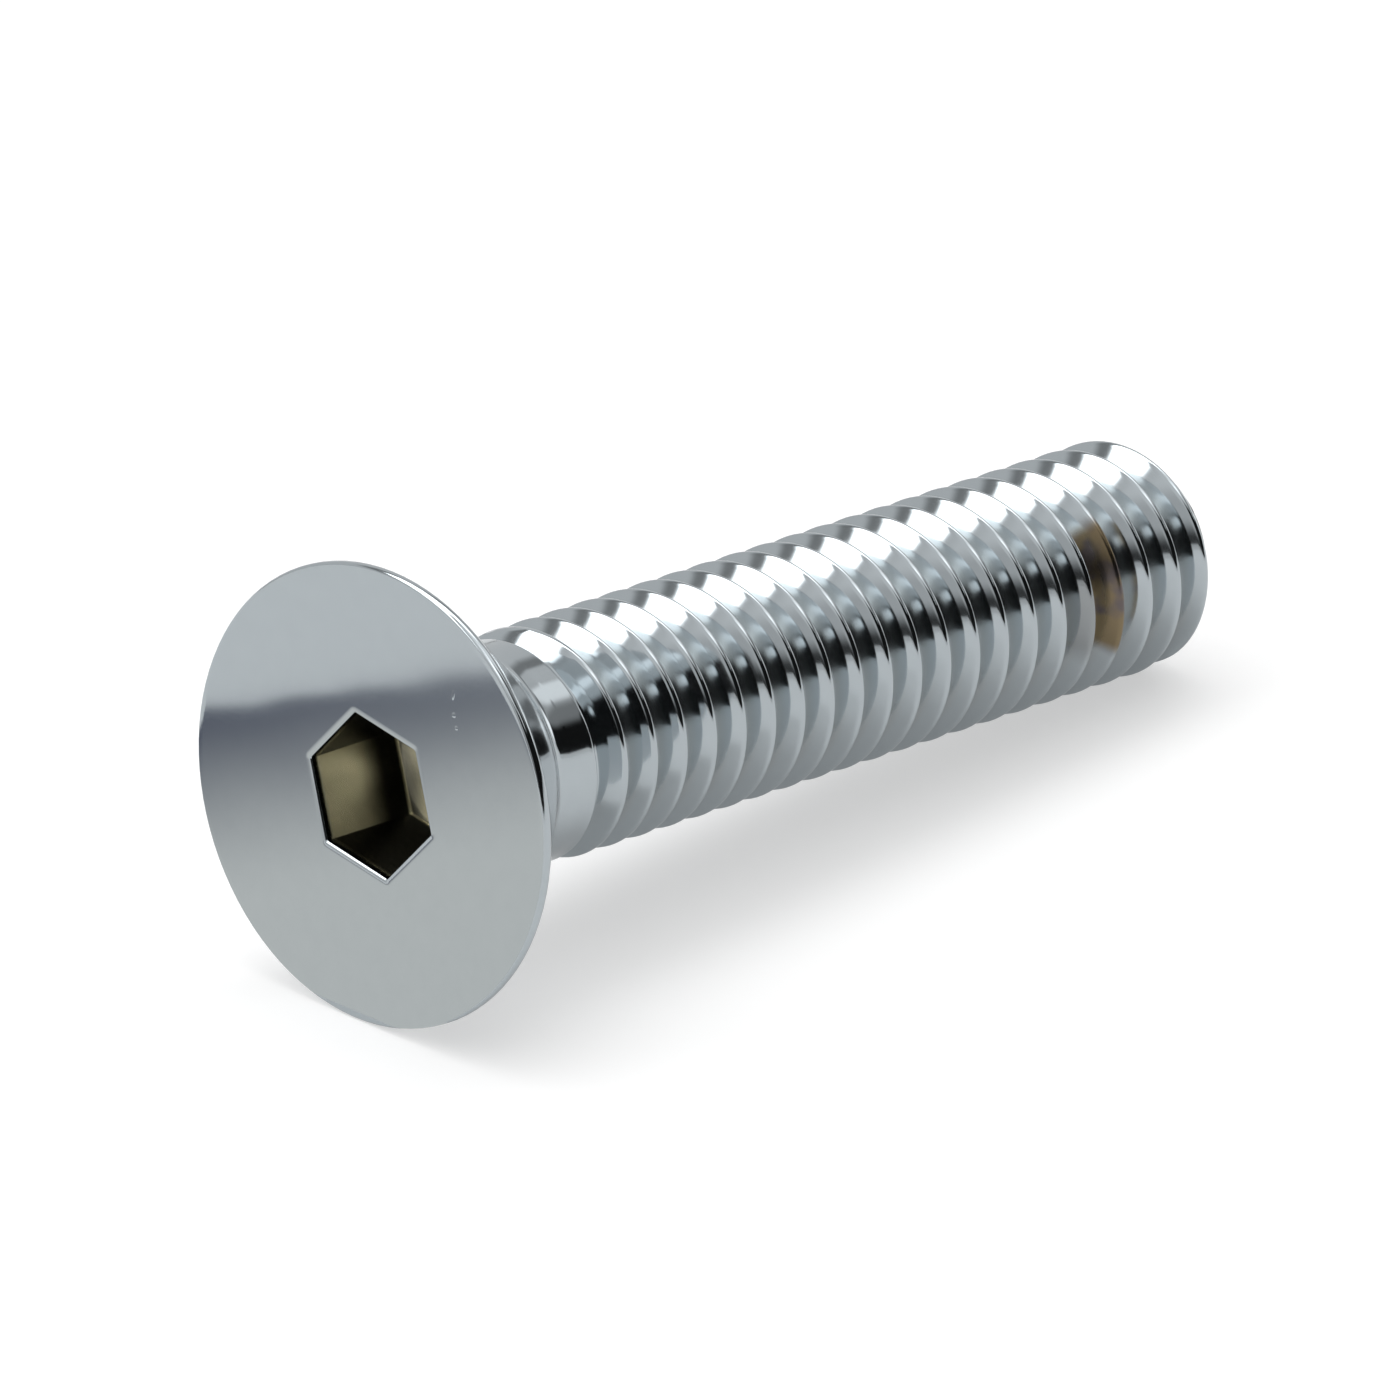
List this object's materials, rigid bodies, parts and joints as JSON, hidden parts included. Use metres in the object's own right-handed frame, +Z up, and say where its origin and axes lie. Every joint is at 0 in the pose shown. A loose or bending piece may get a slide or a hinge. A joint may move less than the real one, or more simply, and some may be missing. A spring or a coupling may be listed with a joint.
{
  "type": "countersunk socket screw",
  "caption": "Flat countersunk head screw with a hexagon socket and a coarse right-hand thread cut almost to the head, in bright chrome plate, lying on its side",
  "frame": {"origin": "The middle of the screw's bounding box in X and Y, on the table it lies on.", "axes": "X runs along the screw from head to point, and the screw's own axis falls by its resting tilt of 6.2 degrees towards the point. Y is across the screw, level. Z is up."},
  "size_m": [0.0382, 0.0154, 0.0154],
  "materials": {
    "chrome_plate": "bright chrome plate on steel"
  },
  "bodies": {
    "root": {"screw": "chrome_plate"}
  },
  "joints": []
}
